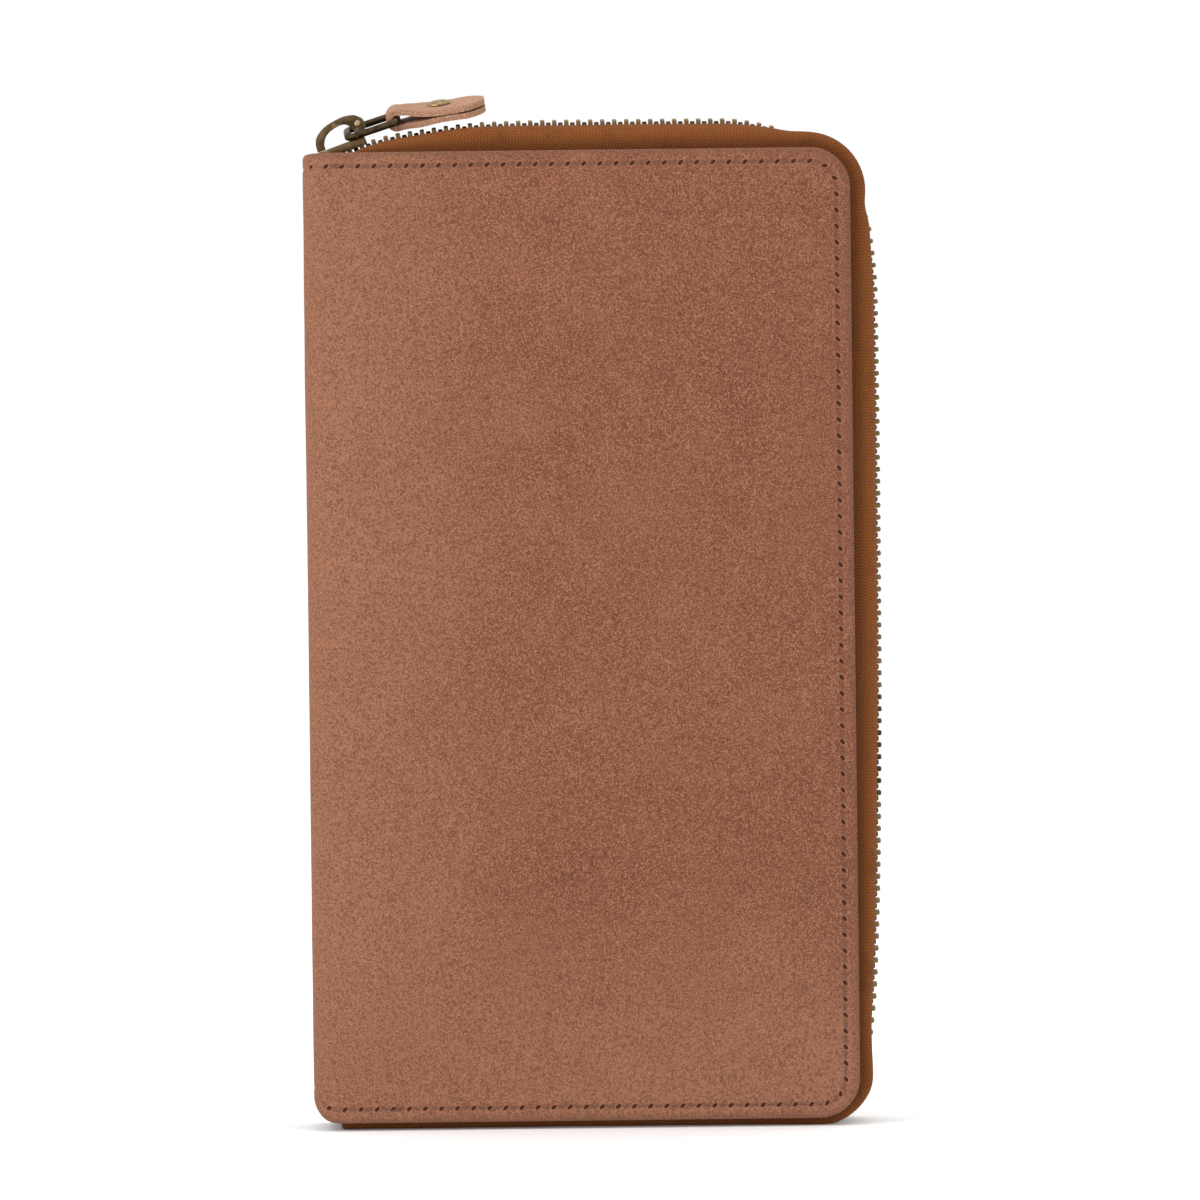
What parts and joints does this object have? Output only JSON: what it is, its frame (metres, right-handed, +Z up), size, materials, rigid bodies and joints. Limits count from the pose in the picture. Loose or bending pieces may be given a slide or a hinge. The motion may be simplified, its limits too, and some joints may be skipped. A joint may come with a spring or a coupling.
{
  "type": "zip-around wallet",
  "caption": "Upright leather zip-around wallet with metal zip, riveted leather pull, folding spine, card pockets and zipped coin pocket.",
  "frame": {"origin": "middle of the footprint, on the surface that the wallet stands on", "axes": "+X from the spine to the zipped opening edge, +Y from the front cover to the back cover, +Z up"},
  "size_m": [0.1144, 0.025, 0.2059],
  "materials": {
    "cover_leather": "matte nubuck with darker burnished edges",
    "tab_leather": "matte nubuck with raw edges",
    "pocket_leather": "matte",
    "lining": "matte woven",
    "stiffener_board": "matte",
    "zip_tape": "matte herringbone weave",
    "antique_brass": "dark antique, worn bright at the edges",
    "bright_brass": "satin"
  },
  "bodies": {
    "back_cover": {"back_leather": "cover_leather", "back_board": "stiffener_board", "back_lining": "lining", "back_zip_tape": "zip_tape", "back_teeth": "antique_brass", "back_top_stop": "antique_brass", "bottom_stop": "antique_brass", "note_pocket": "pocket_leather", "coin_pocket_gusset": "lining", "coin_pocket_lower": "pocket_leather", "coin_pocket_upper": "pocket_leather", "coin_tape_upper": "zip_tape", "coin_tape_lower": "zip_tape", "coin_teeth_upper": "antique_brass", "coin_teeth_lower": "antique_brass", "coin_stop_left": "antique_brass", "coin_stop_right": "antique_brass"},
    "spine": {"spine_leather": "cover_leather", "spine_lining": "lining"},
    "front_cover": {"front_leather": "cover_leather", "front_board": "stiffener_board", "front_lining": "lining", "front_zip_tape": "zip_tape", "front_teeth": "antique_brass", "front_top_stop": "antique_brass", "front_slip_pocket": "pocket_leather", "card_pocket_1": "pocket_leather", "card_pocket_2": "pocket_leather", "card_pocket_3": "pocket_leather", "card_pocket_4": "pocket_leather", "card_pocket_5": "pocket_leather", "card_pocket_6": "pocket_leather"},
    "crown_pin": {"crown_pin": "antique_brass"},
    "slider": {"slider_body": "antique_brass", "slider_crown": "antique_brass"},
    "pull_link": {"pull_link": "antique_brass"},
    "pull_tab": {"pull_tab_leather": "tab_leather", "tab_rivet_cap": "bright_brass", "tab_rivet_burr": "bright_brass"},
    "coin_slider": {"coin_slider_body": "antique_brass", "coin_slider_crown": "antique_brass"},
    "coin_pull": {"coin_pull": "antique_brass"}
  },
  "joints": [
    {"name": "back_fold", "type": "hinge", "parent": "back_cover", "child": "spine", "pos_m": [-0.0561, 0.0114, 0], "axis": [0, 0, -1], "range_deg": [0, 90]},
    {"name": "front_fold", "type": "hinge", "parent": "spine", "child": "front_cover", "pos_m": [-0.0561, -0.0114, 0], "axis": [0, 0, -1], "range_deg": [0, 90]},
    {"name": "slider_travel", "type": "slide", "parent": "back_cover", "child": "crown_pin", "axis": [0.9983, 0, 0.0582], "range_m": [0, 0.0717], "deforming": ["front_teeth", "back_teeth", "front_zip_tape", "back_zip_tape", "front_top_stop", "back_top_stop"]},
    {"name": "slider_tilt", "type": "hinge", "parent": "crown_pin", "child": "slider", "pos_m": [-0.04622, 0, 0.20036], "axis": [0, 1, 0], "range_deg": [0, 20.5]},
    {"name": "link_swing", "type": "hinge", "parent": "slider", "child": "pull_link", "pos_m": [-0.04825, 0, 0.19818], "axis": [0.0483, -0.9877, -0.1488], "range_deg": [0, 140]},
    {"name": "tab_swing", "type": "hinge", "parent": "pull_link", "child": "pull_tab", "pos_m": [-0.03836, 0, 0.20139], "axis": [0.0483, -0.9877, -0.1488], "range_deg": [0, 80]},
    {"name": "coin_slider_travel", "type": "slide", "parent": "back_cover", "child": "coin_slider", "axis": [1, 0, 0], "range_m": [0, 0.067], "deforming": ["coin_teeth_upper", "coin_teeth_lower"]},
    {"name": "coin_pull_swing", "type": "hinge", "parent": "coin_slider", "child": "coin_pull", "pos_m": [-0.0352, 0.0039, 0.1426], "axis": [0, 0, -1], "range_deg": [0, 22]}
  ],
  "couplings": [
    {"joint": "front_fold", "follows": "back_fold", "ratio": 1},
    {"joint": "slider_tilt", "follows": "slider_travel", "rad_per_m": 4.8684}
  ]
}
